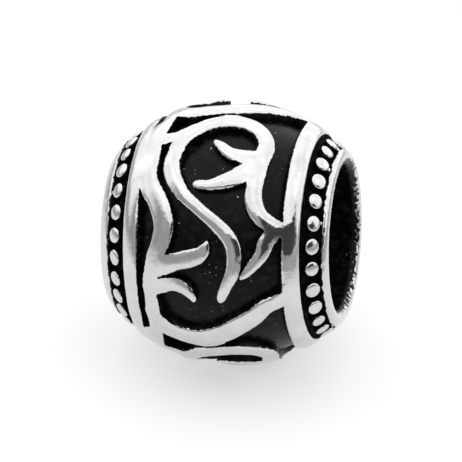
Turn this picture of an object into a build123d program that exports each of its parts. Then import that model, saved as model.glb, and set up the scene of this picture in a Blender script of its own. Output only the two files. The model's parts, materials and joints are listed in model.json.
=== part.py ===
from build123d import *

import math
import os
from typing import NamedTuple

# A barrel charm bead, cast in one piece: a thick wall round a wide bore, with vine scrollwork
# standing proud of a sunk ground, a plain band on each side of the scrolls, a channel of small
# buttons outside each band, and a rounded lip at each mouth.
#
# The bead is drawn with its bore along X and angles round the bore measured from -Y towards +Z.
# At the end it is laid on Z = 0 as it lies by itself, on the edges of three strands, with the
# mouth on the -X side a little lower. The origin is the point of that floor under its middle.

# Overall sizes, in millimetres
bead_diameter = 11.15
bead_length = 9.8
bore_diameter = 6.0

# The rounding of each mouth. The length above is that of a bead with two mouths like the left
# one. The right mouth is rounder, so it ends a little short of it.
left_lip_radius = 0.20
right_lip_radius = 0.35

# Widths of the rings along the bore, counted inwards from each end of that length
rim_width = 0.40
channel_width = 0.72
band_width = 0.71

# Depths below the polished surface, measured square to it
field_depth = 0.42
channel_depth = 0.38

# The buttons in the channels; their inset is from the rim to their middles
button_inset = 0.28
button_diameter = 0.65
button_crown = 0.12
buttons_per_row = 26
left_row_turn = -5.4
right_row_turn = -6.4

# The scrollwork: its widest usual strand, and how often its figure repeats round the bead
strand_width = 0.83
figures_round = 3

# The lie of the bead: the turn about the bore that brings a vine, a scroll and a leaf down to
# the floor, and the lean of the bore, in degrees
rest_turn = 31.0
rest_lean = 6.1

# Overshoot of a cutting or joining body past the surface that it works on
overshoot = 0.15

bead_radius = bead_diameter / 2
bore_radius = bore_diameter / 2
half_length = bead_length / 2
field_half = half_length - rim_width - channel_width - band_width
channel_inner = field_half + band_width
channel_outer = channel_inner + channel_width
figure_pitch = 360 / figures_round

# The belly is one arc that runs tangent into both lips
lip_reach = half_length - left_lip_radius
lip_drop = bead_radius - bore_radius - left_lip_radius
belly_radius = (lip_reach**2 + lip_drop**2 - left_lip_radius**2) / (2 * (lip_drop - left_lip_radius))
belly_centre = bead_radius - belly_radius


class Station(NamedTuple):
    """One cross-section of a strand of the scrollwork.

    axial is its place along the bore, as a share of field_half; turn is its angle round the
    bore, as a share of figure_pitch; width is a share of strand_width.
    """

    axial: float
    turn: float
    width: float


VINE = [
    Station(-0.875, 0.507, 0.97),
    Station(-0.893, 0.434, 0.97),
    Station(-0.904, 0.336, 0.98),
    Station(-0.910, 0.251, 1.00),
    Station(-0.889, 0.195, 1.06),
    Station(-0.821, 0.153, 1.07),
    Station(-0.733, 0.112, 1.10),
    Station(-0.644, 0.060, 1.14),
    Station(-0.606, 0.012, 1.11),
    Station(-0.630, -0.042, 1.07),
    Station(-0.694, -0.091, 0.95),
    Station(-0.754, -0.147, 0.81),
    Station(-0.800, -0.217, 0.81),
    Station(-0.803, -0.281, 0.79),
    Station(-0.789, -0.342, 0.82),
    Station(-0.781, -0.404, 0.80),
    Station(-0.797, -0.457, 0.77),
    Station(-0.840, -0.522, 0.86),
    Station(-0.885, -0.602, 0.95),
]

BRIDGE = [
    Station(-0.914, 0.385, 0.82),
    Station(-0.679, 0.386, 0.72),
    Station(-0.441, 0.396, 0.84),
]

SCROLL = [
    Station(0.205, -0.260, 0.34),
    Station(0.225, -0.244, 0.52),
    Station(0.290, -0.203, 0.60),
    Station(0.371, -0.153, 0.66),
    Station(0.398, -0.105, 0.72),
    Station(0.384, -0.056, 0.77),
    Station(0.291, -0.010, 0.76),
    Station(0.107, 0.034, 0.70),
    Station(-0.139, 0.083, 0.67),
    Station(-0.337, 0.126, 0.70),
    Station(-0.487, 0.183, 0.80),
    Station(-0.567, 0.235, 0.86),
    Station(-0.573, 0.288, 0.82),
    Station(-0.519, 0.346, 0.86),
    Station(-0.385, 0.400, 0.93),
    Station(-0.203, 0.443, 0.96),
    Station(0.012, 0.465, 0.96),
    Station(0.213, 0.472, 0.97),
    Station(0.410, 0.462, 0.93),
    Station(0.563, 0.433, 0.87),
    Station(0.654, 0.388, 0.85),
    Station(0.669, 0.341, 0.86),
    Station(0.631, 0.290, 0.87),
    Station(0.610, 0.221, 0.86),
    Station(0.610, 0.172, 0.85),
    Station(0.617, 0.127, 0.91),
    Station(0.680, 0.081, 0.89),
    Station(0.796, 0.047, 0.80),
    Station(0.990, 0.019, 0.68),
    Station(1.112, 0.009, 0.68),
]

UPPER_HOOK = [
    Station(0.621, 0.285, 0.96),
    Station(0.353, 0.296, 0.79),
    Station(0.199, 0.307, 0.66),
    Station(0.079, 0.333, 0.53),
    Station(0.005, 0.348, 0.35),
    Station(-0.025, 0.356, 0.15),
]

LOWER_HOOK = [
    Station(0.631, 0.257, 0.97),
    Station(0.382, 0.212, 0.92),
    Station(0.198, 0.185, 0.80),
    Station(0.014, 0.169, 0.57),
    Station(-0.141, 0.168, 0.47),
    Station(-0.176, 0.168, 0.26),
]

BACK_THORN = [
    Station(0.945, 0.022, 0.62),
    Station(0.815, -0.032, 0.78),
    Station(0.760, -0.083, 0.73),
    Station(0.652, -0.125, 0.62),
    Station(0.542, -0.158, 0.38),
    Station(0.494, -0.169, 0.18),
]

UPPER_LEAF = [
    Station(-0.729, -0.155, 0.95),
    Station(-0.435, -0.122, 0.91),
    Station(-0.227, -0.105, 0.95),
    Station(-0.060, -0.086, 0.79),
    Station(0.013, -0.057, 0.42),
    Station(0.031, -0.041, 0.16),
]

LOWER_LEAF = [
    Station(-0.766, -0.236, 0.76),
    Station(-0.497, -0.210, 0.76),
    Station(-0.345, -0.214, 0.74),
    Station(-0.230, -0.238, 0.53),
    Station(-0.178, -0.261, 0.30),
    Station(-0.170, -0.270, 0.13),
]

SWEEP = [
    Station(-0.819, -0.350, 0.80),
    Station(-0.713, -0.402, 1.03),
    Station(-0.546, -0.439, 1.16),
    Station(-0.304, -0.451, 1.21),
    Station(-0.061, -0.446, 1.26),
    Station(0.181, -0.419, 1.22),
    Station(0.423, -0.381, 1.17),
    Station(0.607, -0.348, 1.08),
    Station(0.788, -0.308, 0.93),
    Station(0.993, -0.283, 0.79),
    Station(1.115, -0.273, 0.79),
]

FIGURE = [VINE, BRIDGE, SCROLL, UPPER_HOOK, LOWER_HOOK, BACK_THORN, UPPER_LEAF, LOWER_LEAF, SWEEP]


def belly_point(along: float, offset: float) -> tuple[float, float]:
    """Return distance along the bore and radius of a point offset outwards from the belly."""
    lean = math.asin(along / belly_radius)
    reach = belly_radius + offset
    return reach * math.sin(lean), belly_centre + reach * math.cos(lean)


def placed(along: float, turn: float, offset: float = 0.0) -> Vector:
    """Return the point over the belly at a place along the bore and an angle round it."""
    axial, radius = belly_point(along, offset)
    angle = math.radians(turn)
    return Vector(axial, -radius * math.cos(angle), radius * math.sin(angle))


def belly_ring(start: float, end: float, low: float, high: float) -> Part:
    """Return a ring that follows the belly between two places and two offsets from it."""
    middle = (start + end) / 2
    outer = ThreePointArc(belly_point(start, high), belly_point(middle, high), belly_point(end, high))
    inner = ThreePointArc(belly_point(end, low), belly_point(middle, low), belly_point(start, low))
    sides = [Line(outer @ 1, inner @ 0), Line(inner @ 1, outer @ 0)]
    return revolve(make_face([outer, sides[0], inner, sides[1]]), Axis.X)


def lip(radius: float) -> list[tuple[float, float]]:
    """Return shoulder, nose and throat of a lip that runs tangent from the belly into the bore."""
    centre = bore_radius + radius
    reach = math.sqrt((belly_radius - radius) ** 2 - (centre - belly_centre) ** 2)
    lean = math.asin(reach / (belly_radius - radius))
    shoulder = (reach + radius * math.sin(lean), centre + radius * math.cos(lean))
    turned = (math.pi + lean) / 2
    nose = (reach + radius * math.sin(turned), centre + radius * math.cos(turned))
    return [shoulder, nose, (reach, bore_radius)]


def bead_blank() -> Part:
    """Return the plain barrel with its bore and its two rounded lips."""
    left = [(-along, radius) for along, radius in lip(left_lip_radius)]
    right = lip(right_lip_radius)
    outline = [
        ThreePointArc(left[0], (0, bead_radius), right[0]),
        ThreePointArc(right[0], right[1], right[2]),
        Line(right[2], left[2]),
        ThreePointArc(left[2], left[1], left[0]),
    ]
    return revolve(make_face(outline), Axis.X)


def strand(stations: list[Station], turn: float) -> Solid:
    """Return one strand as a wall lofted square to the belly, deeper and taller than the field."""
    places = [(row.axial * field_half, row.turn * figure_pitch + turn) for row in stations]
    points = [placed(along, angle) for along, angle in places]
    last = len(points) - 1
    sections = []
    for index, (row, (along, angle)) in enumerate(zip(stations, places)):
        heading = points[min(index + 1, last)] - points[max(index - 1, 0)]
        foot = placed(along, angle, -field_depth - overshoot)
        head = placed(along, angle, 2 * overshoot)
        across = heading.cross(head - foot).normalized() * (row.width * strand_width / 2)
        corners = [foot - across, foot + across, head + across, head - across]
        sections.append(Wire.make_polygon(corners, close=True))
    return Solid.make_loft(sections)


def scrolls() -> list[Solid]:
    """Return every strand of the scrollwork, figure after figure round the bead."""
    turns = [rest_turn + number * figure_pitch for number in range(figures_round)]
    return [strand(stations, turn) for turn in turns for stations in FIGURE]


def button(along: float, turn: float) -> Part:
    """Return one button: a short peg with a crowned head that comes up to the belly."""
    stem = channel_depth - button_crown
    radius = button_diameter / 2
    outline = [
        Line((0, -overshoot), (radius, -overshoot)),
        Line((radius, -overshoot), (radius, stem)),
        TangentArc((0, channel_depth), (radius, stem), tangent=(1, 0)),
        Line((0, channel_depth), (0, -overshoot)),
    ]
    foot = placed(along, turn, -channel_depth)
    up = placed(along, turn) - foot
    return Plane(foot, z_dir=up) * revolve(Plane.XZ * make_face(outline), Axis.Z)


def button_rows() -> list[Part]:
    """Return the buttons of both channels."""
    middle = channel_outer - button_inset
    step = 360 / buttons_per_row
    rows = [(-middle, rest_turn + left_row_turn), (middle, rest_turn + right_row_turn)]
    return [button(along, turn + number * step) for along, turn in rows for number in range(buttons_per_row)]


def charm_bead() -> Part:
    """Return the whole bead, lying on its belly."""
    sunk = belly_ring(-field_half, field_half, -field_depth, overshoot)
    for wall in scrolls():
        sunk -= wall
    bead = bead_blank() - sunk
    for side in (-1, 1):
        near, far = sorted((side * channel_inner, side * channel_outer))
        bead -= belly_ring(near, far, -channel_depth, overshoot)
    bead += button_rows()
    lying = Rot(0, -rest_lean, 0) * bead
    box = lying.bounding_box()
    return Pos(-(box.min.X + box.max.X) / 2, 0, -box.min.Z) * lying


os.makedirs("parts", exist_ok=True)
export_step(charm_bead(), "parts/charm_bead.step")
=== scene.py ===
"""A barrel charm bead, cast in one piece: bright scrollwork over a blackened ground.

The bead is built in millimetres with its bore along X, and angles round the bore measured from
-Y towards +Z. It is then laid where the CAD part lies, by that part's bore, in metres.
"""

import json
import logging
import math
import random
from dataclasses import dataclass, field
from enum import Enum
from typing import NamedTuple

import bmesh
import bpy
import numpy as np
from mathutils import Matrix, Vector


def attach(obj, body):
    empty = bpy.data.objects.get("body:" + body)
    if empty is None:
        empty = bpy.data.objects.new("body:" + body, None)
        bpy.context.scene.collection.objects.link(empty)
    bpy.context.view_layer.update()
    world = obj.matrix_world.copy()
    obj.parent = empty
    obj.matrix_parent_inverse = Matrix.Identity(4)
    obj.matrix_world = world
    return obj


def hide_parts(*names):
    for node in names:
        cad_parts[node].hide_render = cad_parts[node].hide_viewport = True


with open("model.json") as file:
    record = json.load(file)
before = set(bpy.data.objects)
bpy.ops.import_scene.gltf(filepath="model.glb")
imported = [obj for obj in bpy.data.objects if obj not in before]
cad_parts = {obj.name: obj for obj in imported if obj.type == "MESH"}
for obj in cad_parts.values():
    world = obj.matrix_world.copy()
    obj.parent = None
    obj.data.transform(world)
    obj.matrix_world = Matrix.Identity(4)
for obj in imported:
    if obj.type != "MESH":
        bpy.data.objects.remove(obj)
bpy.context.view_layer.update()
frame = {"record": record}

log = logging.getLogger("charm_bead")

MILLIMETRE = 0.001
CAD_NODE = "charm_bead"
BODY = "root"
SUNK = "sunk"
SHARP_ANGLE = math.radians(50)
WELD = 1e-4
FINE_WELD = 1e-5
NO_LENGTH = 1e-6
WAVE_DIRECTIONS = ((0.9, 0.5, -0.3), (-0.4, 0.8, 0.6), (0.3, -0.7, 0.8), (0.7, 0.4, 0.9))
WAVE_STRETCH = 0.37
WAVE_SHIFT = 1.7


class Side(Enum):
    """The two ends of the bead, by the sign of X."""

    LEFT = -1
    RIGHT = 1


class Station(NamedTuple):
    """One place on a strand's middle line.

    axial is a share of half the field's width along the bore, turn a share of the angle from one
    figure to the next, and width a share of the usual strand width.
    """

    axial: float
    turn: float
    width: float


VINE = (
    Station(-0.875, 0.507, 0.97),
    Station(-0.893, 0.434, 0.97),
    Station(-0.904, 0.336, 0.98),
    Station(-0.910, 0.251, 1.00),
    Station(-0.889, 0.195, 1.06),
    Station(-0.821, 0.153, 1.07),
    Station(-0.733, 0.112, 1.10),
    Station(-0.644, 0.060, 1.14),
    Station(-0.606, 0.012, 1.11),
    Station(-0.630, -0.042, 1.07),
    Station(-0.694, -0.091, 0.95),
    Station(-0.754, -0.147, 0.81),
    Station(-0.800, -0.217, 0.81),
    Station(-0.803, -0.281, 0.79),
    Station(-0.789, -0.342, 0.82),
    Station(-0.781, -0.404, 0.80),
    Station(-0.797, -0.457, 0.77),
    Station(-0.840, -0.522, 0.86),
    Station(-0.885, -0.602, 0.95),
)
BRIDGE = (
    Station(-0.914, 0.385, 0.82),
    Station(-0.679, 0.386, 0.72),
    Station(-0.441, 0.396, 0.84),
)
SCROLL = (
    Station(0.205, -0.260, 0.34),
    Station(0.225, -0.244, 0.52),
    Station(0.290, -0.203, 0.60),
    Station(0.371, -0.153, 0.66),
    Station(0.398, -0.105, 0.72),
    Station(0.384, -0.056, 0.77),
    Station(0.291, -0.010, 0.76),
    Station(0.107, 0.034, 0.70),
    Station(-0.139, 0.083, 0.67),
    Station(-0.337, 0.126, 0.70),
    Station(-0.487, 0.183, 0.80),
    Station(-0.567, 0.235, 0.86),
    Station(-0.573, 0.288, 0.82),
    Station(-0.519, 0.346, 0.86),
    Station(-0.385, 0.400, 0.93),
    Station(-0.203, 0.443, 0.96),
    Station(0.012, 0.465, 0.96),
    Station(0.213, 0.472, 0.97),
    Station(0.410, 0.462, 0.93),
    Station(0.563, 0.433, 0.87),
    Station(0.654, 0.388, 0.85),
    Station(0.669, 0.341, 0.86),
    Station(0.631, 0.290, 0.87),
    Station(0.610, 0.221, 0.86),
    Station(0.610, 0.172, 0.85),
    Station(0.617, 0.127, 0.91),
    Station(0.680, 0.081, 0.89),
    Station(0.796, 0.047, 0.80),
    Station(0.990, 0.019, 0.68),
    Station(1.112, 0.009, 0.68),
)
UPPER_HOOK = (
    Station(0.621, 0.285, 0.96),
    Station(0.353, 0.296, 0.79),
    Station(0.199, 0.307, 0.66),
    Station(0.079, 0.333, 0.53),
    Station(0.005, 0.348, 0.35),
    Station(-0.025, 0.356, 0.15),
)
LOWER_HOOK = (
    Station(0.631, 0.257, 0.97),
    Station(0.382, 0.212, 0.92),
    Station(0.198, 0.185, 0.80),
    Station(0.014, 0.169, 0.57),
    Station(-0.141, 0.168, 0.47),
    Station(-0.176, 0.168, 0.26),
)
BACK_THORN = (
    Station(0.945, 0.022, 0.62),
    Station(0.815, -0.032, 0.78),
    Station(0.760, -0.083, 0.73),
    Station(0.652, -0.125, 0.62),
    Station(0.542, -0.158, 0.38),
    Station(0.494, -0.169, 0.18),
)
UPPER_LEAF = (
    Station(-0.729, -0.155, 0.95),
    Station(-0.435, -0.122, 0.91),
    Station(-0.227, -0.105, 0.95),
    Station(-0.060, -0.086, 0.79),
    Station(0.013, -0.057, 0.42),
    Station(0.031, -0.041, 0.16),
)
LOWER_LEAF = (
    Station(-0.766, -0.236, 0.76),
    Station(-0.497, -0.210, 0.76),
    Station(-0.345, -0.214, 0.74),
    Station(-0.230, -0.238, 0.53),
    Station(-0.178, -0.261, 0.30),
    Station(-0.170, -0.270, 0.13),
)
SWEEP = (
    Station(-0.819, -0.350, 0.80),
    Station(-0.713, -0.402, 1.03),
    Station(-0.546, -0.439, 1.16),
    Station(-0.304, -0.451, 1.21),
    Station(-0.061, -0.446, 1.26),
    Station(0.181, -0.419, 1.22),
    Station(0.423, -0.381, 1.17),
    Station(0.607, -0.348, 1.08),
    Station(0.788, -0.308, 0.93),
    Station(0.993, -0.283, 0.79),
    Station(1.115, -0.273, 0.79),
)
FIGURE = (VINE, BRIDGE, SCROLL, UPPER_HOOK, LOWER_HOOK, BACK_THORN, UPPER_LEAF, LOWER_LEAF, SWEEP)


@dataclass(frozen=True)
class Barrel:
    """The sizes that all pieces share, in millimetres, and the turn of the pattern in degrees."""

    radius: float = 5.575
    half_length: float = 4.9
    bore_radius: float = 3.0
    left_lip: float = 0.20
    right_lip: float = 0.35
    rim_width: float = 0.40
    channel_width: float = 0.72
    band_width: float = 0.71
    field_depth: float = 0.42
    channel_depth: float = 0.38
    turn: float = 31.0

    @property
    def belly_radius(self) -> float:
        """Return the radius of the belly's arc, which runs tangent into both lips.

        Returns:
            The arc's radius.
        """
        reach = self.half_length - self.left_lip
        drop = self.radius - self.bore_radius - self.left_lip
        return (reach**2 + drop**2 - self.left_lip**2) / (2 * (drop - self.left_lip))

    @property
    def belly_centre(self) -> float:
        """Return the distance from the bore's axis to the middle of the belly's arc."""
        return self.radius - self.belly_radius

    @property
    def channel_outer(self) -> float:
        """Return the axial place of the channel's edge by the rim."""
        return self.half_length - self.rim_width

    @property
    def channel_inner(self) -> float:
        """Return the axial place of the channel's edge by the band."""
        return self.channel_outer - self.channel_width

    @property
    def field_half(self) -> float:
        """Return half the width of the field of scrollwork along the bore."""
        return self.channel_inner - self.band_width

    def lip(self, side: Side) -> tuple[float, float]:
        """Return the size and place of the lip of one mouth.

        Args:
            side: the end of the bead.

        Returns:
            The lip's rounding and the axial distance of its middle from the middle of the belly.
        """
        radius = self.left_lip if side is Side.LEFT else self.right_lip
        drop = self.bore_radius + radius - self.belly_centre
        return radius, math.sqrt((self.belly_radius - radius) ** 2 - drop**2)

    @property
    def bore_middle(self) -> float:
        """Return the axial place of the middle of the bore's straight wall."""
        return (self.lip(Side.RIGHT)[1] - self.lip(Side.LEFT)[1]) / 2

    def arc(self, axial: float) -> float:
        """Return the arc length along the belly from its middle to an axial place."""
        return self.belly_radius * math.asin(axial / self.belly_radius)

    def radii(self, arcs: np.ndarray) -> np.ndarray:
        """Return the belly's distance from the bore's axis at arc lengths along it."""
        return self.belly_centre + self.belly_radius * np.cos(arcs / self.belly_radius)

    def section(self, axial: float, offset: float) -> tuple[float, float]:
        """Return the point of the bead's section at an offset square to the belly.

        Args:
            axial: the place on the belly, along the bore.
            offset: the distance outwards from the belly.

        Returns:
            The axial place and the radius of the point.
        """
        lean = math.asin(axial / self.belly_radius)
        reach = self.belly_radius + offset
        return reach * math.sin(lean), self.belly_centre + reach * math.cos(lean)

    def points(
        self, arcs: np.ndarray, angles: np.ndarray, offsets: np.ndarray | float
    ) -> np.ndarray:
        """Return points over the belly.

        Args:
            arcs: arc lengths along the belly.
            angles: angles round the bore, in radians.
            offsets: distances outwards from the belly.

        Returns:
            One row of three coordinates for each point.
        """
        leans = arcs / self.belly_radius
        reach = self.belly_radius + offsets
        axial = reach * np.sin(leans)
        radii = self.belly_centre + reach * np.cos(leans)
        return np.column_stack((axial, -radii * np.cos(angles), radii * np.sin(angles)))

    def arcs_and_angles(self, points: np.ndarray) -> tuple[np.ndarray, np.ndarray]:
        """Return the place on the belly that is under or over each point.

        Args:
            points: one row of three coordinates for each point.

        Returns:
            The arc lengths along the belly and the angles round the bore, in radians.
        """
        radii = np.hypot(points[:, 1], points[:, 2])
        leans = np.arctan2(points[:, 0], radii - self.belly_centre)
        return leans * self.belly_radius, np.arctan2(points[:, 2], -points[:, 1])


def smooth_rows(rows: np.ndarray, steps: int) -> np.ndarray:
    """Return a smooth run through rows of numbers.

    Args:
        rows: the rows to run through.
        steps: the count of steps from one row to the next.

    Returns:
        The rows and those between them.
    """
    padded = np.vstack((2 * rows[:1] - rows[1:2], rows, 2 * rows[-1:] - rows[-2:-1]))
    share = np.linspace(0, 1, steps, endpoint=False)[:, None]
    runs = []
    for before, start, end, after in zip(padded, padded[1:], padded[2:], padded[3:]):
        bend = 2 * before - 5 * start + 4 * end - after
        twist = 3 * start - before - 3 * end + after
        runs.append(start + (end - before) * share / 2 + bend * share**2 / 2 + twist * share**3 / 2)
    return np.vstack((*runs, rows[-1:]))


def blended(first: np.ndarray, second: np.ndarray, reach: float) -> np.ndarray:
    """Return the lesser of two distances, rounded where they meet."""
    overlap = np.clip(reach - np.abs(first - second), 0, None) / reach
    return np.minimum(first, second) - overlap**2 * reach / 4


def wobble(points: np.ndarray, wavelength: float) -> np.ndarray:
    """Return a gentle unevenness that depends on the place alone.

    Args:
        points: one row of three coordinates for each point.
        wavelength: the length of the shortest wave.

    Returns:
        A number between -1 and 1 for each point.
    """
    total = np.zeros(len(points))
    for number, direction in enumerate(WAVE_DIRECTIONS):
        pace = 2 * math.pi / (wavelength * (1 + WAVE_STRETCH * number))
        total += np.sin(points @ np.array(direction) * pace + WAVE_SHIFT * number)
    return total / len(WAVE_DIRECTIONS)


@dataclass(frozen=True)
class Strand:
    """The middle line of one strand on the belly, with half its width at each of its points."""

    line: np.ndarray
    halves: np.ndarray
    blunt_start: bool
    blunt_end: bool

    def distance(self, points: np.ndarray) -> np.ndarray:
        """Return how far points lie outside the strand's edge.

        Args:
            points: one row of three coordinates for each point.

        Returns:
            One distance for each point, negative within the strand.
        """
        nearest = np.full(len(points), np.inf)
        last = len(self.line) - 2
        for number in range(last + 1):
            start, end = self.line[number], self.line[number + 1]
            run = end - start
            length = math.sqrt(run @ run)
            if length < NO_LENGTH:
                continue
            along = (points - start) @ run / length
            share = np.clip(along / length, 0, 1)
            off = points - start - share[:, None] * run
            half = self.halves[number] + share * (self.halves[number + 1] - self.halves[number])
            away = np.sqrt((off**2).sum(1)) - half
            past = np.where(share <= 0, -along, along - length)
            blunt = (self.blunt_start and number == 0) & (along < 0)
            blunt |= (self.blunt_end and number == last) & (along > length)
            aside = np.sqrt(np.clip((off**2).sum(1) - past**2, 0, None)) - half
            away = np.where(blunt, np.maximum(aside, past), away)
            nearest = np.minimum(nearest, away)
        return nearest


@dataclass
class Scrollwork:
    """The outline of all raised metal between the two channels: the strands and the two bands.

    The margin is how far from the edge a distance is still worked out, and the probe the step
    by which its slopes are found. The least slope and the longest step keep moves to it short.
    """

    barrel: Barrel
    figures: int = 3
    strand_width: float = 0.83
    growth: float = 0.02
    fillet: float = 0.10
    tip_width: float = 0.40
    steps: int = 5
    margin: float = 0.6
    unevenness: float = 0.008
    unevenness_length: float = 0.19
    probe: float = 0.004
    least_slope: float = 0.25
    longest_step: float = 0.06
    strands: list[Strand] = field(default_factory=list)

    def __post_init__(self) -> None:
        """Lay out every strand of every figure."""
        for number in range(self.figures):
            self.strands += [self.strand(stations, number) for stations in FIGURE]

    def strand(self, stations: tuple[Station, ...], number: int) -> Strand:
        """Return a strand of one of the figures round the bead.

        Args:
            stations: the strand's stations.
            number: the figure's number, from 0.

        Returns:
            The strand in its place.
        """
        rows = smooth_rows(np.array(stations), self.steps)
        pitch = 2 * math.pi / self.figures
        leans = np.arcsin(rows[:, 0] * self.barrel.field_half / self.barrel.belly_radius)
        angles = math.radians(self.barrel.turn) + (rows[:, 1] + number) * pitch
        line = self.barrel.points(leans * self.barrel.belly_radius, angles, 0.0)
        halves = rows[:, 2] * self.strand_width / 2 + self.growth
        blunt = [end.width > self.tip_width for end in (stations[0], stations[-1])]
        return Strand(line, halves, *blunt)

    def distance(self, points: np.ndarray, fillet: float | None = None) -> np.ndarray:
        """Return each point's distance outside the raised metal's edge, negative on the metal.

        Args:
            points: points on the belly, one in each row.
            fillet: how far the meeting of two strands is rounded, if not as in the outline.

        Returns:
            Distances, which are right near the edge and at most the margin away from it.
        """
        fillet = fillet or self.fillet
        arcs, _ = self.barrel.arcs_and_angles(points)
        strands = np.full(len(points), self.margin)
        for strand in self.strands:
            low, high = strand.line.min(0) - self.margin, strand.line.max(0) + self.margin
            close = np.flatnonzero(np.all((points > low) & (points < high), axis=1))
            if len(close):
                strands[close] = blended(strands[close], strand.distance(points[close]), fillet)
        bands = self.barrel.arc(self.barrel.field_half) - np.abs(arcs)
        raised = blended(strands, bands, fillet)
        raised += self.unevenness * wobble(points, self.unevenness_length)
        return np.maximum(raised, np.abs(arcs) - self.barrel.arc(self.barrel.channel_inner))

    def slope(
        self, arcs: np.ndarray, angles: np.ndarray
    ) -> tuple[np.ndarray, np.ndarray, np.ndarray]:
        """Return the distance from the edge and its slopes, at places on the belly.

        Args:
            arcs: arc lengths along the belly.
            angles: angles round the bore, in radians.

        Returns:
            The distances, and their slopes along the bore and round it.
        """
        here = self.distance(self.barrel.points(arcs, angles, 0.0))
        onward = self.distance(self.barrel.points(arcs + self.probe, angles, 0.0))
        turned = angles + self.probe / self.barrel.radii(arcs)
        round_it = self.distance(self.barrel.points(arcs, turned, 0.0))
        return here, (onward - here) / self.probe, (round_it - here) / self.probe

    def moved(self, points: np.ndarray, target: float, passes: int) -> np.ndarray:
        """Return points moved square to the edge of the raised metal.

        Args:
            points: points on the belly, one in each row.
            target: the distance outside the edge that they are brought to.
            passes: how often they are moved.

        Returns:
            The moved points, on the belly.
        """
        arcs, angles = self.barrel.arcs_and_angles(points)
        for _ in range(passes):
            here, along, around = self.slope(arcs, angles)
            steep = np.clip(along**2 + around**2, self.least_slope, None)
            step = np.clip((target - here) / steep, -self.longest_step, self.longest_step)
            radii = self.barrel.radii(arcs)
            arcs = arcs + step * along
            angles = angles + step * around / radii
        return self.barrel.points(arcs, angles, 0.0)


def places(verts: list[bmesh.types.BMVert]) -> np.ndarray:
    """Return the coordinates of mesh points, one in each row."""
    return np.array([vert.co[:] for vert in verts]).reshape(-1, 3)


def place(verts: list[bmesh.types.BMVert], points: np.ndarray) -> None:
    """Move mesh points to the given coordinates."""
    for vert, point in zip(verts, points.tolist()):
        vert.co = point


def spin(
    mesh: bmesh.types.BMesh, section: list, axis: tuple[float, float, float], steps: int
) -> None:
    """Spin a section once round an axis through the middle, and join its two ends.

    Args:
        mesh: the mesh that holds the section.
        section: the section's points and edges.
        axis: the direction of the axis.
        steps: the count of steps in the turn.
    """
    bmesh.ops.spin(
        mesh,
        geom=section,
        cent=(0, 0, 0),
        axis=axis,
        dvec=(0, 0, 0),
        angle=2 * math.pi,
        steps=steps,
        use_merge=True,
        use_duplicate=False,
    )


def number_items(mesh: bmesh.types.BMesh) -> None:
    """Number a mesh's points, edges and faces afresh.

    Args:
        mesh: the mesh.
    """
    for items in (mesh.verts, mesh.edges, mesh.faces):
        items.ensure_lookup_table()
        items.index_update()


class RingRow(NamedTuple):
    """One point of the section of a mouth, spun round the bore.

    sunk is its share of blackening, uneven its share of unevenness, and front the share of
    blackening that is added towards the bead's front.
    """

    axial: float
    radius: float
    sunk: float
    uneven: float = 0.0
    front: float = 0.0


class EdgePoint(NamedTuple):
    """One point of the section over the rim's edge by the channel.

    past is its place along the bore, measured from the channel, and drop its depth below the
    belly. sunk is its share of blackening and uneven its share of unevenness.
    """

    past: float
    drop: float
    sunk: float
    uneven: float


class ThroatPoint(NamedTuple):
    """One point of the bore's wall just inside a mouth: its depth and its share of blackening."""

    depth: float
    sunk: float


RIM_EDGE = (
    EdgePoint(0.0, 0.12, 1.0, 1.0),
    EdgePoint(0.004, 0.06, 0.8, 1.0),
    EdgePoint(0.02, 0.025, 0.5, 1.0),
    EdgePoint(0.05, 0.006, 0.2, 0.7),
    EdgePoint(0.09, 0.0, 0.0, 0.3),
    EdgePoint(0.2, 0.0, 0.0, 0.0),
)
THROAT = (ThroatPoint(0.1, 0.86), ThroatPoint(0.3, 0.94), ThroatPoint(0.6, 0.95))


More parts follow.
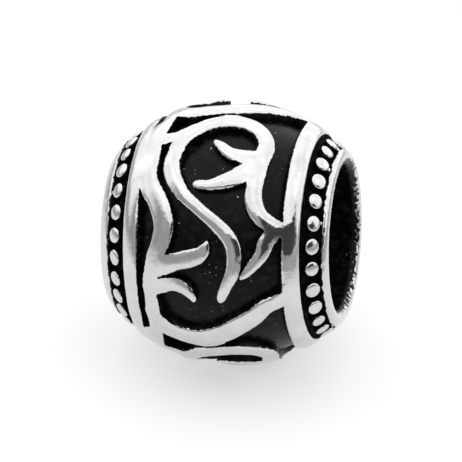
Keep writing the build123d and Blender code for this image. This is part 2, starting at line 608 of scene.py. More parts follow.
@dataclass
class CastBody:
    """The bead's body: raised scrollwork and bands, sunk ground, channels, rims and bore.

    The turns round a lip's section are in radians, from its side away from the bore. The front
    is the part round the bore, turned by an angle in degrees, where the mouths are blackest.
    """

    barrel: Barrel
    scrollwork: Scrollwork
    columns: int = 192
    rows: int = 44
    refinings: int = 2
    refine_reach: float = 0.17
    outer_share: float = 1 / 3
    evenings: int = 2
    edge_width: float = 0.12
    edge_drop: float = 0.075
    crown: float = 0.075
    crown_reach: float = 0.42
    blackened_edge: float = 0.68
    channel_black: float = 1.6
    blackening_reach: float = 0.085
    wall_flare: float = 0.012
    channel_slope: float = 0.02
    band_edge_past: float = 0.004
    band_edge_drop: float = 0.12
    rim_unevenness: float = 0.032
    rim_waves: tuple[tuple[float, float], ...] = ((1.0, 0.23), (0.8, 0.61))
    hand_waves: float = 0.026
    melted: float = 0.6
    wave_length: float = 0.8
    lip_steps: int = 9
    lip_bright_to: float = 1.0
    lip_black_from: float = 2.1
    lip_worn: float = 0.46
    lip_deep: float = 0.32
    bore_rows: int = 3
    bore_black: float = 0.95
    front_black: float = 0.5
    left_front: float = 0.15
    blackest_turn: float = 70.0

    def make(self) -> bmesh.types.BMesh:
        """Build the body.

        Returns:
            Its closed surface, in millimetres.
        """
        mesh = bmesh.new()
        mesh.verts.layers.float.new(SUNK)
        self.spin_belly(mesh)
        for number in range(self.refinings):
            self.refine(mesh, reach=self.refine_reach / 2**number)
        raised = self.sort_faces(mesh)
        self.fit_outline(mesh)
        self.raise_relief(mesh)
        log.info("relief: %d faces, %d of them raised", len(mesh.faces), raised)
        self.add_ends(mesh)
        bmesh.ops.remove_doubles(mesh, verts=mesh.verts[:], dist=FINE_WELD)
        bmesh.ops.recalc_face_normals(mesh, faces=mesh.faces[:])
        return mesh

    def spin_belly(self, mesh: bmesh.types.BMesh) -> None:
        """Spin the belly between the two channels, as a ring of even cells.

        Args:
            mesh: the body's mesh, still empty.
        """
        reach = self.barrel.arc(self.barrel.channel_inner)
        arcs = np.linspace(-reach, reach, self.rows + 1)
        section = self.barrel.points(arcs, np.zeros(len(arcs)), 0.0)
        verts = [mesh.verts.new(point) for point in section]
        edges = [mesh.edges.new(pair) for pair in zip(verts, verts[1:])]
        spin(mesh, verts + edges, axis=(1, 0, 0), steps=self.columns)

    def settle(self, mesh: bmesh.types.BMesh) -> None:
        """Bring every point of the mesh back onto the belly."""
        verts = mesh.verts[:]
        place(verts, self.barrel.points(*self.barrel.arcs_and_angles(places(verts)), 0.0))

    def refine(self, mesh: bmesh.types.BMesh, reach: float) -> None:
        """Divide the cells that lie by the outline of the raised metal.

        Args:
            mesh: the body's mesh.
            reach: how far from the outline cells are still divided.
        """
        number_items(mesh)
        near = self.scrollwork.distance(places(mesh.verts[:]))
        edges = set()
        for face in mesh.faces:
            span = [near[vert.index] for vert in face.verts]
            if min(span) < reach * self.outer_share and max(span) > -reach:
                edges.update(face.edges)
        bmesh.ops.subdivide_edges(
            mesh, edges=list(edges), cuts=1, use_grid_fill=True, use_single_edge=True
        )
        self.settle(mesh)

    def sort_faces(self, mesh: bmesh.types.BMesh) -> int:
        """Give raised faces the material number 1 and sunk ones 0.

        Args:
            mesh: the body's mesh.

        Returns:
            The count of raised faces.
        """
        centres = np.array([face.calc_center_median()[:] for face in mesh.faces])
        raised = self.scrollwork.distance(centres) < 0
        for face, up in zip(mesh.faces, raised.tolist()):
            face.material_index = int(up)
        return int(raised.sum())

    @staticmethod
    def is_outline(edge: bmesh.types.BMEdge) -> bool:
        """Return whether an edge parts a raised face from a sunk one."""
        sides = [face.material_index for face in edge.link_faces]
        return len(sides) == 2 and sides[0] != sides[1]

    def fit_outline(self, mesh: bmesh.types.BMesh) -> None:
        """Bring the border between raised and sunk faces onto the outline, and even out the cells.

        Args:
            mesh: the body's mesh.
        """
        border = list({vert for edge in mesh.edges if self.is_outline(edge) for vert in edge.verts})
        place(border, self.scrollwork.moved(places(border), 0.0, passes=3))
        fixed = set(border) | {vert for vert in mesh.verts if vert.is_boundary}
        beside = {other for vert in border for face in vert.link_faces for other in face.verts}
        for _ in range(self.evenings):
            bmesh.ops.smooth_vert(
                mesh,
                verts=list(beside - fixed),
                factor=0.5,
                use_axis_x=True,
                use_axis_y=True,
                use_axis_z=True,
            )
        self.settle(mesh)

    def heights(self, inset: np.ndarray) -> np.ndarray:
        """Return how far raised metal lies off the belly.

        Args:
            inset: distances in from the metal's edge.

        Returns:
            Offsets outwards from the belly, none above 0.
        """
        edge = np.clip(1 - inset / self.edge_width, 0, 1)
        crown = np.clip(1 - inset / self.crown_reach, 0, 1)
        return -self.edge_drop * (1 - np.sqrt(1 - edge**2)) - self.crown * crown**2

    def raise_relief(self, mesh: bmesh.types.BMesh) -> None:
        """Part the raised faces from the sunk ones, sink the ground, and join both by walls.

        Args:
            mesh: the body's mesh.
        """
        sunk = mesh.verts.layers.float[SUNK]
        bmesh.ops.split_edges(mesh, edges=[edge for edge in mesh.edges if self.is_outline(edge)])
        reach = self.barrel.arc(self.barrel.channel_inner) - WELD
        cut = [
            edge
            for edge in mesh.edges
            if edge.is_boundary
            and edge.link_faces[0].material_index == 1
            and np.abs(self.barrel.arcs_and_angles(places(edge.verts[:]))[0]).min() < reach
        ]
        walls = bmesh.ops.extrude_edge_only(mesh, edges=cut)["geom"]
        feet = [item for item in walls if isinstance(item, bmesh.types.BMVert)]
        sunk_faces = [face for face in mesh.faces if face.material_index == 0]
        ground = {vert for face in sunk_faces for vert in face.verts} - set(feet)
        ground = [vert for vert in ground if not any(f.material_index for f in vert.link_faces)]
        top = list(set(mesh.verts) - set(feet) - set(ground))
        rim = {vert for vert in ground if vert.is_boundary}
        floor = [vert for vert in ground if vert not in rim]
        low = -self.barrel.field_depth
        for verts in (feet, list(rim)):
            foot = self.scrollwork.moved(places(verts), self.wall_flare, passes=1)
            place(verts, self.barrel.points(*self.barrel.arcs_and_angles(foot), low))
        place(floor, self.barrel.points(*self.barrel.arcs_and_angles(places(floor)), low))
        spots = places(top)
        inset = np.clip(-self.scrollwork.distance(spots), 0, None)
        depth = np.clip(-self.scrollwork.distance(spots, self.melted), 0, None)
        heights = self.heights(depth) - self.hand_waves * (1 + wobble(spots, self.wave_length)) / 2
        place(top, self.barrel.points(*self.barrel.arcs_and_angles(spots), heights))
        for verts in (feet, ground):
            for vert in verts:
                vert[sunk] = 1.0
        shares = self.blackened_edge * np.clip(1 - inset / self.blackening_reach, 0, 1)
        for vert, share in zip(top, shares.tolist()):
            vert[sunk] = share
        bmesh.ops.remove_doubles(mesh, verts=feet + list(rim), dist=WELD)

    def end_profile(self, side: Side) -> list[RingRow]:
        """Return the section of one end, from the band's edge over channel, rim and lip.

        Args:
            side: the end of the bead.

        Returns:
            The points of the section, as far as the throat.
        """
        barrel = self.barrel
        lip_radius, lip_reach = barrel.lip(side)
        start = math.asin(lip_reach / (barrel.belly_radius - lip_radius))
        shoulder = lip_reach + lip_radius * math.sin(start)
        inner, outer = barrel.channel_inner, barrel.channel_outer
        band_edge = barrel.section(inner + self.band_edge_past, -self.band_edge_drop)
        rows = [RingRow(*band_edge, self.channel_black)]
        for axial in (inner + self.channel_slope, (inner + outer) / 2, outer - self.channel_slope):
            rows.append(RingRow(*barrel.section(axial, -barrel.channel_depth), self.channel_black))
        for past, drop, share, uneven in RIM_EDGE:
            if outer + past < shoulder:
                rows.append(RingRow(*barrel.section(outer + past, -drop), share, uneven=uneven))
        for turn in np.linspace(start, math.pi, self.lip_steps):
            axial = lip_reach + lip_radius * math.sin(turn)
            radius = barrel.bore_radius + lip_radius * (1 + math.cos(turn))
            worn = (turn - self.lip_bright_to) / (self.lip_black_from - self.lip_bright_to)
            deep = (turn - self.lip_black_from) / (math.pi - self.lip_black_from)
            worn, deep = np.clip(worn, 0, 1), np.clip(deep, 0, 1)
            share = self.lip_worn * worn + self.lip_deep * deep
            rows.append(RingRow(axial, radius, share, front=self.front_black * worn))
        for depth, share in THROAT:
            axial = lip_reach - depth
            rows.append(RingRow(axial, barrel.bore_radius, share, front=self.front_black))
        return rows

    def add_ring(self, mesh: bmesh.types.BMesh, ring: list, side: Side, row: RingRow) -> list:
        """Extrude a ring of edges to the next point of the section.

        Args:
            mesh: the body's mesh.
            ring: the open ring's edges.
            side: the end of the bead.
            row: the next point of the section.

        Returns:
            The edges of the new open ring.
        """
        sunk = mesh.verts.layers.float[SUNK]
        made = bmesh.ops.extrude_edge_only(mesh, edges=ring)["geom"]
        verts = [item for item in made if isinstance(item, bmesh.types.BMVert)]
        old = places(verts)
        angles = np.arctan2(old[:, 2], -old[:, 1])
        spots = np.column_stack(
            (
                np.full(len(angles), side.value * row.axial),
                -row.radius * np.cos(angles),
                row.radius * np.sin(angles),
            )
        )
        waves = sum(share * wobble(spots, length) for share, length in self.rim_waves)
        spots[:, 0] += side.value * row.uneven * self.rim_unevenness * waves
        place(verts, spots)
        worn = 1.0 if side is Side.RIGHT else self.left_front
        facing = worn * np.clip(np.cos(angles - math.radians(self.blackest_turn)), 0, 1)
        for vert, front in zip(verts, facing.tolist()):
            vert[sunk] = row.sunk + row.front * front
        return [item for item in made if isinstance(item, bmesh.types.BMEdge) and item.is_boundary]

    def add_ends(self, mesh: bmesh.types.BMesh) -> None:
        """Add channel, rim, lip and bore at both ends, so that the surface closes.

        Args:
            mesh: the body's mesh.
        """
        rings = {}
        for side in Side:
            rings[side] = [
                edge
                for edge in mesh.edges
                if edge.is_boundary
                and all(vert.co.x * side.value > self.barrel.field_half for vert in edge.verts)
            ]
            for row in self.end_profile(side):
                rings[side] = self.add_ring(mesh, rings[side], side, row)
        right, left = (rings[side][0].verts[0].co.x for side in (Side.RIGHT, Side.LEFT))
        for axial in np.linspace(right, left, self.bore_rows)[1:]:
            row = RingRow(axial, self.barrel.bore_radius, self.bore_black)
            rings[Side.RIGHT] = self.add_ring(mesh, rings[Side.RIGHT], Side.RIGHT, row)


@dataclass
class ButtonRow:
    """One row of small crowned buttons in the channel at one end of the bead.

    A spread holds the least and the greatest share of a plain size. A slip is how far a piece
    sits off its even place, along the bore in millimetres or round it in radians. The tilt and
    the turns up the crown are in degrees.
    """

    barrel: Barrel
    side: Side
    row_turn: float
    seed: int
    webbed: float
    count: int = 26
    inset: float = 0.28
    radius: float = 0.33
    crown: float = 0.085
    segments: int = 20
    foot: float = 0.05
    stem_blacks: tuple[float, float] = (1.0, 0.72)
    stem_black_to: float = 0.35
    stem_dull_below: float = 0.03
    crown_black: float = 0.45
    crown_clears: float = 0.02
    crown_turns: tuple[int, ...] = (15, 35, 55, 75)
    radius_spread: tuple[float, float] = (0.94, 1.05)
    height_spread: tuple[float, float] = (0.95, 1.0)
    length_spread: tuple[float, float] = (0.93, 1.0)
    width_spread: tuple[float, float] = (0.97, 1.05)
    tilt: float = 3.0
    slip: float = 0.012
    turn_slip: float = 0.003
    web_length: float = 0.30
    web_slip: tuple[float, float] = (0.0, 0.03)
    web_turn_slip: float = 0.02
    web_width: tuple[float, float] = (0.12, 0.22)
    web_height: tuple[float, float] = (0.72, 0.9)
    web_edge: float = 0.05
    web_black: float = 0.3

    def profile(self, radius: float, top: float) -> list[tuple[float, float, float]]:
        """Return the section of a button, from its foot up.

        Args:
            radius: the button's radius.
            top: the height of its crown over the channel's floor.

        Returns:
            A radius, a height and a share of blackening for each point.
        """
        stem = top - self.crown
        black, dull = self.stem_blacks
        rows = [(radius, -self.foot, black), (radius, self.stem_black_to * stem, black)]
        rows.append((radius, stem - self.stem_dull_below, dull))
        for turn in self.crown_turns:
            angle = math.radians(turn)
            share = max(0.0, self.crown_black - self.crown_clears * turn)
            rows.append((radius * math.cos(angle), stem + self.crown * math.sin(angle), share))
        return rows

    def add_button(self, mesh: bmesh.types.BMesh, angle: float, dice: random.Random) -> None:
        """Spin one button and set it square to the belly in the channel.

        Args:
            mesh: the row's mesh.
            angle: the button's angle round the bore, in radians.
            dice: the row's own source of unevenness.
        """
        sunk = mesh.verts.layers.float[SUNK]
        radius = self.radius * dice.uniform(*self.radius_spread)
        top = self.barrel.channel_depth * dice.uniform(*self.height_spread)
        rows = self.profile(radius, top)
        verts = [mesh.verts.new((r, 0, z)) for r, z, _ in rows]
        for vert, row in zip(verts, rows):
            vert[sunk] = row[2]
        pole = mesh.verts.new((0, 0, top))
        edges = [mesh.edges.new(pair) for pair in zip(verts, verts[1:] + [pole])]
        before = set(mesh.verts) - set(verts) - {pole}
        spin(mesh, verts + [pole] + edges, axis=(0, 0, 1), steps=self.segments)
        made = [vert for vert in mesh.verts if vert not in before]
        shape = (dice.uniform(*self.length_spread), dice.uniform(*self.width_spread), 1.0, 1.0)
        stretch = Matrix.Diagonal(shape)
        tilt = Matrix.Rotation(math.radians(dice.uniform(-self.tilt, self.tilt)), 4, "X")
        tilt @= Matrix.Rotation(math.radians(dice.uniform(-self.tilt, self.tilt)), 4, "Y")
        axial = self.barrel.channel_outer - self.inset + dice.uniform(-self.slip, self.slip)
        angle += dice.uniform(-self.turn_slip, self.turn_slip)
        spot = self.set_square(self.side.value * axial, angle)
        bmesh.ops.transform(mesh, matrix=spot @ tilt @ stretch, verts=made)
        bmesh.ops.remove_doubles(mesh, verts=made, dist=WELD)

    def set_square(self, axial: float, angle: float) -> Matrix:
        """Return the placing of a button or web in the channel.

        Args:
            axial: its place along the bore.
            angle: its angle round the bore, in radians.

        Returns:
            The placing of its foot on the channel's floor, with Z square to the belly.
        """
        foot = Vector(self.spot(axial, angle, -self.barrel.channel_depth))
        up = (Vector(self.spot(axial, angle, 0.0)) - foot).normalized()
        along = Vector((1, 0, 0))
        along = (along - up * along.dot(up)).normalized()
        turn = Matrix((along, up.cross(along), up)).transposed().to_4x4()
        return Matrix.Translation(foot) @ turn

    def spot(self, axial: float, angle: float, offset: float) -> tuple[float, float, float]:
        """Return a point at an offset over the belly."""
        place_along, radius = self.barrel.section(axial, offset)
        return place_along, -radius * math.cos(angle), radius * math.sin(angle)

    def add_web(self, mesh: bmesh.types.BMesh, angle: float, dice: random.Random) -> None:
        """Add a small web of metal that joins a button to the rim.

        Args:
            mesh: the row's mesh.
            angle: the button's angle round the bore, in radians.
            dice: the row's own source of unevenness.
        """
        sunk = mesh.verts.layers.float[SUNK]
        axial = self.barrel.channel_outer - dice.uniform(*self.web_slip)
        angle += dice.uniform(-self.web_turn_slip, self.web_turn_slip)
        spot = self.set_square(self.side.value * axial, angle)
        height = self.barrel.channel_depth * dice.uniform(*self.web_height)
        size = Matrix.Diagonal((self.web_length, dice.uniform(*self.web_width), height, 1.0))
        lifted = Matrix.Translation((0, 0, height / 2))
        verts = bmesh.ops.create_cube(mesh, size=1.0, matrix=spot @ lifted @ size)["verts"]
        edges = list({edge for vert in verts for edge in vert.link_edges})
        bevelled = bmesh.ops.bevel(
            mesh,
            geom=edges,
            affect="EDGES",
            offset=self.web_edge,
            segments=3,
            profile=0.5,
            material=-1,
        )["verts"]
        for vert in set(verts) | set(bevelled):
            if vert.is_valid:
                vert[sunk] = self.web_black

    def make(self) -> bmesh.types.BMesh:
        """Build the row.

        Returns:
            Its closed buttons and webs, in millimetres.
        """
        mesh = bmesh.new()
        mesh.verts.layers.float.new(SUNK)
        dice = random.Random(self.seed)
        start = math.radians(self.barrel.turn + self.row_turn)
        for number in range(self.count):
            angle = start + number * 2 * math.pi / self.count
            self.add_button(mesh, angle, dice)
            if dice.random() < self.webbed:
                self.add_web(mesh, angle, dice)
        feet = [edge for edge in mesh.edges if edge.is_boundary]
        bmesh.ops.holes_fill(mesh, edges=feet, sides=0)
        bmesh.ops.recalc_face_normals(mesh, faces=mesh.faces[:])
        return mesh


class NodeTree:
    """The nodes of a finish or of the surround, with short ways to add those in use."""

    def __init__(
        self, owner: bpy.types.Material | bpy.types.World, shader: str = "Principled BSDF"
    ) -> None:
        """Take the nodes of a material or world and find its shader."""
        self.tree = owner.node_tree
        self.shader = self.tree.nodes[shader]

    def add(self, kind: str, **settings: object) -> bpy.types.Node:
        """Add a node.

        Args:
            kind: the kind of node.
            **settings: the node's own settings by name.

        Returns:
            The new node.
        """
        node = self.tree.nodes.new(kind)
        for name, value in settings.items():
            setattr(node, name, value)
        return node

    def link(self, source: bpy.types.NodeSocket, target: bpy.types.NodeSocket) -> None:
        """Join an output to an input."""
        self.tree.links.new(source, target)

    def feed(self, value: object, socket: bpy.types.NodeSocket) -> None:
        """Link an output to a socket, or set a plain number or colour on it.

        Args:
            value: the output, number or colour.
            socket: the socket that takes it.
        """
        if isinstance(value, bpy.types.NodeSocket):
            self.link(value, socket)
        else:
            socket.default_value = (*value, 1.0) if isinstance(value, tuple) else value

    def millimetres(self) -> bpy.types.NodeSocket:
        """Add the place on the object.

        Returns:
            The place in millimetres.
        """
        coordinates = self.add("ShaderNodeTexCoord").outputs["Object"]
        mapping = self.add("ShaderNodeMapping")
        mapping.inputs["Scale"].default_value = (1 / MILLIMETRE,) * 3
        self.link(coordinates, mapping.inputs["Vector"])
        return mapping.outputs["Vector"]

    def noise(
        self, place_mm: bpy.types.NodeSocket, scale: float, detail: float
    ) -> bpy.types.NodeSocket:
        """Add cloudy noise.

        Args:
            place_mm: the place or direction that it depends on.
            scale: the count of waves to a unit of the place.
            detail: the count of finer waves laid over them.

        Returns:
            The noise, from 0 to 1.
        """
        node = self.add("ShaderNodeTexNoise")
        node.inputs["Scale"].default_value = scale
        node.inputs["Detail"].default_value = detail
        self.link(place_mm, node.inputs["Vector"])
        return node.outputs["Fac"]

    def math(self, operation: str, first: object, second: object) -> bpy.types.NodeSocket:
        """Add a sum on two values.

        Args:
            operation: the kind of sum.
            first: an output or a number.
            second: an output or a number.

        Returns:
            The result.
        """
        node = self.add("ShaderNodeMath", operation=operation)
        self.feed(first, node.inputs[0])
        self.feed(second, node.inputs[1])
        return node.outputs[0]

    def ramp(self, value: bpy.types.NodeSocket, low: float, high: float) -> bpy.types.NodeSocket:
        """Add a smooth step.

        Args:
            value: the value that it follows.
            low: the value at which it leaves 0.
            high: the value at which it gets to 1.

        Returns:
            The step, from 0 to 1.
        """
        node = self.add("ShaderNodeMapRange", interpolation_type="SMOOTHSTEP")
        self.link(value, node.inputs["Value"])
        node.inputs["From Min"].default_value = low
        node.inputs["From Max"].default_value = high
        return node.outputs["Result"]

    def range(self, value: bpy.types.NodeSocket, low: float, high: float) -> bpy.types.NodeSocket:
        """Spread a value.

        Args:
            value: the value, from 0 to 1.
            low: what 0 becomes.
            high: what 1 becomes.

        Returns:
            The spread value.
        """
        node = self.add("ShaderNodeMapRange")
        self.link(value, node.inputs["Value"])
        node.inputs["To Min"].default_value = low
        node.inputs["To Max"].default_value = high
        return node.outputs["Result"]

    def mix_colour(
        self, share: bpy.types.NodeSocket, first: object, second: object
    ) -> bpy.types.NodeSocket:
        """Mix two colours.

        Args:
            share: the share of the second one.
            first: an output or a colour.
            second: an output or a colour.

        Returns:
            The mixed colour.
        """
        node = self.add("ShaderNodeMix", data_type="RGBA")
        self.link(share, node.inputs["Factor"])
        sockets = [item for item in node.inputs if item.type == "RGBA"]
        self.feed(first, sockets[0])
        self.feed(second, sockets[1])
        return next(item for item in node.outputs if item.type == "RGBA")

    def mix_value(
        self, share: bpy.types.NodeSocket, first: object, second: object
    ) -> bpy.types.NodeSocket:
        """Mix two numbers.

        Args:
            share: the share of the second one.
            first: an output or a number.
            second: an output or a number.

        Returns:
            The mixed number.
        """
        node = self.add("ShaderNodeMix", data_type="FLOAT")
        self.link(share, node.inputs["Factor"])
        self.feed(first, node.inputs["A"])
        self.feed(second, node.inputs["B"])
        return node.outputs["Result"]


@dataclass(frozen=True)
class CastSteel:
    """Bright polished steel whose recesses are blackened, with a ragged border between the two.

    A pair of roughnesses is the least and the greatest. The other pairs are the values of a noise
    or share at which a thing starts and is full.
    """

    bright: tuple[float, float, float] = (0.66, 0.66, 0.665)
    dull: tuple[float, float, float] = (0.60, 0.60, 0.61)
    black: tuple[float, float, float] = (0.0014, 0.0014, 0.0016)
    worn_black: tuple[float, float, float] = (0.011, 0.011, 0.012)
    bright_roughness: tuple[float, float] = (0.045, 0.125)
    black_roughness: tuple[float, float] = (0.10, 0.55)
    black_sheen: float = 0.11
    channel_roughness: float = 0.65
    ripples: float = 0.012
    grain: float = 0.006
    deepest: float = 1.6
    raggedness: float = 0.9
    stained: tuple[float, float] = (0.42, 0.58)
    speck_pits: tuple[float, float] = (0.72, 0.77)
    speck_patches: tuple[float, float] = (0.54, 0.60)
    speck_brightness: float = 0.7
    polished: tuple[float, float] = (0.35, 0.75)
    worn: tuple[float, float] = (0.45, 0.72)

    def material(self) -> bpy.types.Material:
        """Make the material, which reads the share of blackening from the mesh.

        Returns:
            The material.
        """
        material = bpy.data.materials.new("cast_steel")
        material.use_nodes = True
        tree = NodeTree(material)
        place_mm = tree.millimetres()
        share = tree.add("ShaderNodeAttribute", attribute_name=SUNK).outputs["Fac"]
        polish = tree.noise(place_mm, scale=1.7, detail=3.0)
        grain = tree.noise(place_mm, scale=3.5, detail=6.0)
        blackened = self.blackening(tree, place_mm, share, polish)
        tone = tree.mix_colour(tree.ramp(polish, *self.polished), self.dull, self.bright)
        black = tree.mix_colour(tree.ramp(grain, *self.worn), self.black, self.worn_black)
        gloss = tree.range(polish, *self.bright_roughness)
        sheen = tree.range(grain, *self.black_roughness)
        deep = tree.math("MULTIPLY", tree.ramp(share, 1.0, self.deepest), self.channel_roughness)
        roughness = tree.math("ADD", tree.mix_value(blackened, gloss, sheen), deep)
        shader = tree.shader
        tree.link(tree.mix_colour(blackened, tone, black), shader.inputs["Base Color"])
        tree.link(roughness, shader.inputs["Roughness"])
        tree.link(tree.math("SUBTRACT", 1.0, blackened), shader.inputs["Metallic"])
        shader.inputs["Specular IOR Level"].default_value = self.black_sheen
        tree.link(self.bumps(tree, place_mm, blackened, grain), shader.inputs["Normal"])
        return material

    def blackening(
        self,
        tree: NodeTree,
        place_mm: bpy.types.NodeSocket,
        share: bpy.types.NodeSocket,
        polish: bpy.types.NodeSocket,
    ) -> bpy.types.NodeSocket:
        """Return where the metal is black: a ragged border, with worn specks in the black.

        Args:
            tree: the nodes to add to.
            place_mm: the place on the bead.
            share: the mesh's own share of blackening.
            polish: the cloudy noise that the specks gather by.

        Returns:
            0 on bright metal and 1 on black.
        """
        ragged = tree.math("SUBTRACT", tree.noise(place_mm, scale=6.5, detail=3.0), 0.5)
        mixed = tree.math("ADD", share, tree.math("MULTIPLY", ragged, self.raggedness))
        pits = tree.ramp(tree.noise(place_mm, scale=9.0, detail=1.0), *self.speck_pits)
        specks = tree.math("MULTIPLY", pits, tree.ramp(polish, *self.speck_patches))
        kept = tree.math("SUBTRACT", 1.0, tree.math("MULTIPLY", specks, self.speck_brightness))
        return tree.math("MULTIPLY", tree.ramp(mixed, *self.stained), kept)

    def bumps(
        self,
        tree: NodeTree,
        place_mm: bpy.types.NodeSocket,
        blackened: bpy.types.NodeSocket,
        grain: bpy.types.NodeSocket,
    ) -> bpy.types.NodeSocket:
        """Return the surface's small unevenness: hand-worn ripples, or grain in the black.

        Args:
            tree: the nodes to add to.
            place_mm: the place on the bead.
            blackened: where the metal is black.
            grain: the noise of the black's grain.

        Returns:
            The surface's direction.
        """
        ripples = tree.noise(place_mm, scale=3.6, detail=1.5)
        rippled = tree.math("MULTIPLY", ripples, self.ripples)
        height = tree.mix_value(blackened, rippled, tree.math("MULTIPLY", grain, self.grain))
        bump = tree.add("ShaderNodeBump")
        bump.inputs["Strength"].default_value = 1.0
        bump.inputs["Distance"].default_value = MILLIMETRE
        tree.link(height, bump.inputs["Height"])
        return bump.outputs["Normal"]


@dataclass(frozen=True)
class PaleFloor:
    """The plain white surface that the bead lies on, with its own glow, which is painted light.

    The glow goes from painted_shadow_glow near the bead to plain over the distances in shaded,
    and from plain to far_glow over those in falls_off, in millimetres from the bead. The dimmer
    glow near the bead is a painted contact shadow, and the dimmer glow far off is painted shade
    on the floor that the metal reflects.
    """

    size: float = 0.16
    cells: int = 8
    roughness: float = 0.9
    colour: tuple[float, float, float] = (0.30, 0.30, 0.30)
    shade: tuple[float, float, float] = (0.29, 0.29, 0.29)
    glow: float = 0.68
    far_glow: float = 0.30
    painted_shadow_glow: float = 0.58
    falls_off: tuple[float, float] = (20.0, 62.0)
    shaded: tuple[float, float] = (1.5, 8.0)

    def make(self) -> bpy.types.Object:
        """Lay the floor.

        Returns:
            The floor, staged apart from the bead's pieces.
        """
        mesh = bmesh.new()
        bmesh.ops.create_grid(
            mesh, x_segments=self.cells, y_segments=self.cells, size=self.size / 2
        )
        floor = to_object(mesh, "floor", Matrix.Identity(4), self.material())
        return floor

    def material(self) -> bpy.types.Material:
        """Make the floor's matt white material, whose glow is painted light with a painted contact
        shadow near the bead.

        Returns:
            The material.
        """
        material = bpy.data.materials.new("white_card_painted_glow")
        material.use_nodes = True
        tree = NodeTree(material)
        place_mm = tree.millimetres()
        fibre = tree.noise(place_mm, scale=0.05, detail=2.0)
        off = tree.add("ShaderNodeVectorMath", operation="LENGTH")
        tree.link(place_mm, off.inputs[0])
        away = off.outputs["Value"]
        # painted light: the floor glows, dimmer near the bead as a painted contact shadow and
        # dimmer far off as painted shade
        glow = tree.mix_value(tree.ramp(away, *self.shaded), self.painted_shadow_glow, self.glow)
        glow = tree.mix_value(tree.ramp(away, *self.falls_off), glow, self.far_glow)
        tree.link(tree.mix_colour(fibre, self.shade, self.colour), tree.shader.inputs["Base Color"])
        tree.shader.inputs["Roughness"].default_value = self.roughness
        tree.shader.inputs["Emission Color"].default_value = (1.0, 1.0, 1.0, 1.0)
        tree.link(glow, tree.shader.inputs["Emission Strength"])
        return material


def to_object(
    mesh: bmesh.types.BMesh, name: str, matrix: Matrix, material: bpy.types.Material
) -> bpy.types.Object:
    """Make an object at the origin that holds a mesh moved to its place.

    Args:
        mesh: the mesh, which is used up.
        name: the object's name.
        matrix: the placing of the mesh in the row frame.
        material: the object's only material.

    Returns:
        The object, shaded smooth and linked to the scene.
    """
    mesh.transform(matrix)
    for face in mesh.faces:
        face.smooth = True
        face.material_index = 0
    for edge in mesh.edges:
        edge.smooth = edge.calc_face_angle(0.0) < SHARP_ANGLE
    data = bpy.data.meshes.new(name)
    mesh.to_mesh(data)
    mesh.free()
    data.materials.append(material)
    piece = bpy.data.objects.new(name, data)
    bpy.context.scene.collection.objects.link(piece)
    return piece


def bead_placing(barrel: Barrel) -> Matrix:
    """Find the placing of the bead from the CAD part's bore.

    Args:
        barrel: the bead's sizes.

    Returns:
        The placing in the row frame, from millimetres to metres.
    """
    mount = next(item for item in frame["record"]["mounts"] if item["name"] == "bore")
    axis = Vector(mount["axis"]).normalized()
    lean = math.atan2(axis.z, axis.x)
    turn = Matrix.Rotation(-lean, 4, "Y")
    middle = Vector(mount["pos_m"]) - axis * barrel.bore_middle * MILLIMETRE
    return Matrix.Translation(middle) @ turn @ Matrix.Scale(MILLIMETRE, 4)


@dataclass
class CharmBead:
    """The whole bead: its cast body and its two rows of buttons."""

    barrel: Barrel = field(default_factory=Barrel)
    slot: str = "polished_steel"

    def dress(self, piece: bpy.types.Object) -> bpy.types.Object:
        """Attach a finished piece to the body that it rides on, and hide the CAD part that it
        stands for.

        Args:
            piece: the piece.

        Returns:
            The same piece.
        """
        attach(piece, BODY)
        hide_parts(CAD_NODE)
        data = piece.data
        log.info("%s: %d points, %d faces", piece.name, len(data.vertices), len(data.polygons))
        return piece

    def build(self) -> list[bpy.types.Object]:
        """Build every piece of the bead.

        Returns:
            The body and the two rows of buttons.
        """
        steel = CastSteel().material()
        placing = bead_placing(self.barrel)
        body = CastBody(self.barrel, Scrollwork(self.barrel))
        left = ButtonRow(self.barrel, Side.LEFT, row_turn=-5.4, seed=11, webbed=0.1)
        right = ButtonRow(self.barrel, Side.RIGHT, row_turn=-6.4, seed=5, webbed=0.35)
        meshes = {
            "cast_body": body.make(),
            "left_buttons": left.make(),
            "right_buttons": right.make(),
        }
        return [self.dress(to_object(mesh, name, placing, steel)) for name, mesh in meshes.items()]


@dataclass(frozen=True)
class DimPart:
    """A part of the surround that sends less light: a band of heights round a facing.

    Heights are sines of elevations. The facing is an azimuth in degrees, and the spread holds
    the cosines of the turns from it at which the part starts and is full.
    """

    light: float
    facing: float
    spread: tuple[float, float]
    foot: tuple[float, float]
    head: tuple[float, float]


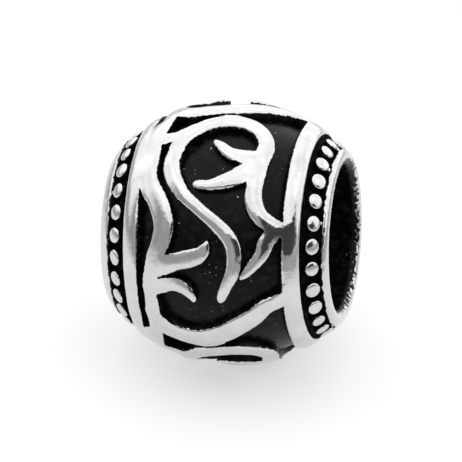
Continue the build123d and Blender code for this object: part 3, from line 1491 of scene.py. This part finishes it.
@dataclass(frozen=True)
class SoftSurround:
    """A tent of soft light round the bead: brightest overhead, dim at the front and low down.

    The side and the overhead part each have the heights at which they start and are full. The
    tent's folds send between the least and the greatest share in folds of the light.
    """

    low: float = 0.52
    side: float = 1.32
    side_from: tuple[float, float] = (0.02, 0.26)
    overhead: float = 1.5
    overhead_tilt: float = 38.0
    overhead_from: tuple[float, float] = (0.38, 0.60)
    folds: tuple[float, float] = (0.6, 1.4)
    fold_count: float = 3.2
    least_level: float = 0.01
    dim_parts: tuple[DimPart, ...] = (
        DimPart(
            light=0.46, facing=-5.0, spread=(0.09, 0.57), foot=(-0.05, 0.05), head=(0.52, 0.66)
        ),
        DimPart(
            light=0.07, facing=46.0, spread=(0.78, 0.92), foot=(0.10, 0.20), head=(0.59, 0.64)
        ),
    )

    def make(self) -> bpy.types.World:
        """Make the surround, whose light depends on the direction alone.

        Returns:
            The world that holds it.
        """
        world = bpy.data.worlds.new("surround")
        world.use_nodes = True
        tree = NodeTree(world, "Background")
        split = tree.add("ShaderNodeSeparateXYZ")
        direction = tree.add("ShaderNodeTexCoord").outputs["Generated"]
        tree.link(direction, split.inputs["Vector"])
        _, back, height = split.outputs
        level = tree.mix_value(tree.ramp(height, *self.side_from), self.low, self.side)
        tilt = math.radians(self.overhead_tilt)
        near_top = tree.math("MULTIPLY", height, math.cos(tilt))
        near_top = tree.math("ADD", near_top, tree.math("MULTIPLY", back, math.sin(tilt)))
        level = tree.mix_value(tree.ramp(near_top, *self.overhead_from), level, self.overhead)
        for part in self.dim_parts:
            level = tree.mix_value(self.reach_of(part, tree, split), level, part.light)
        folds = tree.range(tree.noise(direction, scale=self.fold_count, detail=2.0), *self.folds)
        level = tree.math("MULTIPLY", level, folds)
        tree.shader.inputs["Color"].default_value = (1.0, 1.0, 1.0, 1.0)
        tree.link(level, tree.shader.inputs["Strength"])
        return world

    def reach_of(
        self, part: DimPart, tree: NodeTree, split: bpy.types.Node
    ) -> bpy.types.NodeSocket:
        """Return how much of a dim part lies in a direction.

        Args:
            part: the dim part.
            tree: the nodes to add to.
            split: the node with the direction's X, Y and Z.

        Returns:
            A share from 0 to 1.
        """
        along, back, height = split.outputs
        towards = direction_to(part.facing, 0.0)
        sideways = tree.math("MULTIPLY", along, towards.x)
        ahead = tree.math("ADD", sideways, tree.math("MULTIPLY", back, towards.y))
        squared = tree.math("SUBTRACT", 1.0, tree.math("MULTIPLY", height, height))
        level = tree.math("MAXIMUM", tree.math("SQRT", squared, 0.0), self.least_level)
        turned = tree.math("DIVIDE", ahead, level)
        below_head = tree.math("SUBTRACT", 1.0, tree.ramp(height, *part.head))
        band = tree.math("MULTIPLY", tree.ramp(height, *part.foot), below_head)
        return tree.math("MULTIPLY", band, tree.ramp(turned, *part.spread))


def direction_to(azimuth: float, elevation: float) -> Vector:
    """Return the direction to an azimuth and an elevation.

    Args:
        azimuth: the turn from -Y towards +X, in degrees.
        elevation: the rise over the floor, in degrees.

    Returns:
        The direction, with length 1.
    """
    turn, rise = math.radians(azimuth), math.radians(elevation)
    level = math.cos(rise)
    return Vector((math.sin(turn) * level, -math.cos(turn) * level, math.sin(rise)))


@dataclass(frozen=True)
class Studio:
    """The floor, the soft surround and the camera.

    The camera's azimuth, elevation and roll are in degrees, its distance in metres, and the
    middle is the bead's own on the photograph, in its pixels.
    """

    azimuth: float = 11.0
    elevation: float = 31.5
    roll: float = 2.3
    distance: float = 0.2487
    lens: float = 467.5
    sensor: float = 36.0
    sees: tuple[float, float] = (0.01, 10.0)
    picture_width: float = 462.0
    middle: tuple[float, float] = (234.0, 232.3)

    def camera(self, target: Vector) -> bpy.types.Object:
        """Set up the camera, which looks at the bead from the photograph's angle.

        Args:
            target: the bead's middle.

        Returns:
            The camera.
        """
        data = bpy.data.cameras.new("camera")
        data.lens = self.lens
        data.sensor_width = self.sensor
        data.clip_start, data.clip_end = self.sees
        data.shift_x = (self.picture_width / 2 - self.middle[0]) / self.picture_width
        data.shift_y = (self.middle[1] - self.picture_width / 2) / self.picture_width
        camera = bpy.data.objects.new("camera", data)
        away = direction_to(self.azimuth, self.elevation)
        camera.location = target + away * self.distance
        roll = Matrix.Rotation(math.radians(self.roll), 3, "Z")
        camera.rotation_euler = (away.to_track_quat("Z", "Y").to_matrix() @ roll).to_euler()
        bpy.context.scene.collection.objects.link(camera)
        bpy.context.scene.camera = camera
        return camera

    def set_up(self) -> None:
        """Put up the floor, the soft surround and the camera."""
        scene = bpy.context.scene
        PaleFloor().make()
        scene.world = SoftSurround().make()
        scene.view_settings.view_transform = "Standard"
        self.camera(bead_placing(Barrel()).translation)


def main() -> None:
    """Build the bead and its studio."""
    logging.basicConfig(level=logging.INFO, format="%(name)s: %(message)s")
    pieces = CharmBead().build()
    Studio().set_up()
    log.info("built %d pieces", len(pieces))


if __name__ == "__main__":
    main()
